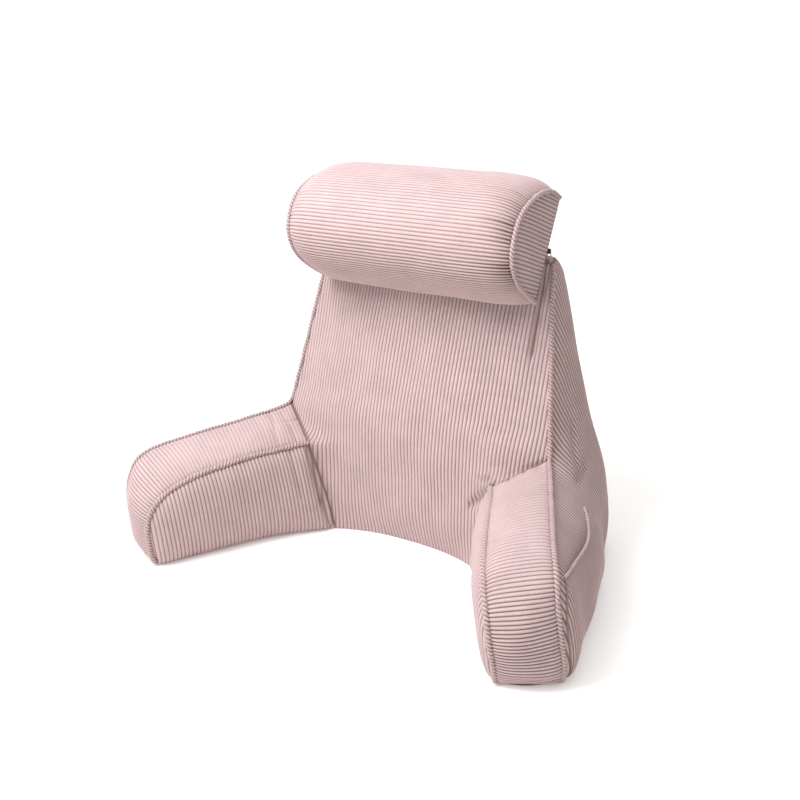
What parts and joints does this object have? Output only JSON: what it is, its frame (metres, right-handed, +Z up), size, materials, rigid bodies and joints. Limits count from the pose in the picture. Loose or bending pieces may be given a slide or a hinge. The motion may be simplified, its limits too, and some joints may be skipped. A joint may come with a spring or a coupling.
{
  "type": "backrest pillow",
  "caption": "Filled backrest pillow in wide-wale corduroy, with two arms, corded edges, an arm pocket and a neck bolster on a zipped flap.",
  "frame": {"origin": "middle of the object's base, on the surface it stands on", "axes": "+Z up, -Y the front that a person leans on, +X the arm with the pocket"},
  "size_m": [0.7741, 0.5092, 0.611],
  "materials": {
    "corduroy": "wide-wale corduroy, dusty pink",
    "welt": "corded edge in the same corduroy",
    "zip_nylon": "nylon zip chain",
    "zip_metal": "zip slider"
  },
  "bodies": {
    "root": {"backrest": "corduroy", "arm_right": "corduroy", "arm_left": "corduroy", "bolster": "corduroy", "pocket_right": "corduroy", "joining_flap": "corduroy", "outer_welt_right": "welt", "outer_welt_left": "welt", "inner_welt_right": "welt", "inner_welt_left": "welt", "bolster_welt_right": "welt", "bolster_welt_left": "welt", "pocket_welt_right": "welt", "zip_chain": "zip_nylon", "zip_slider": "zip_metal"}
  },
  "joints": []
}
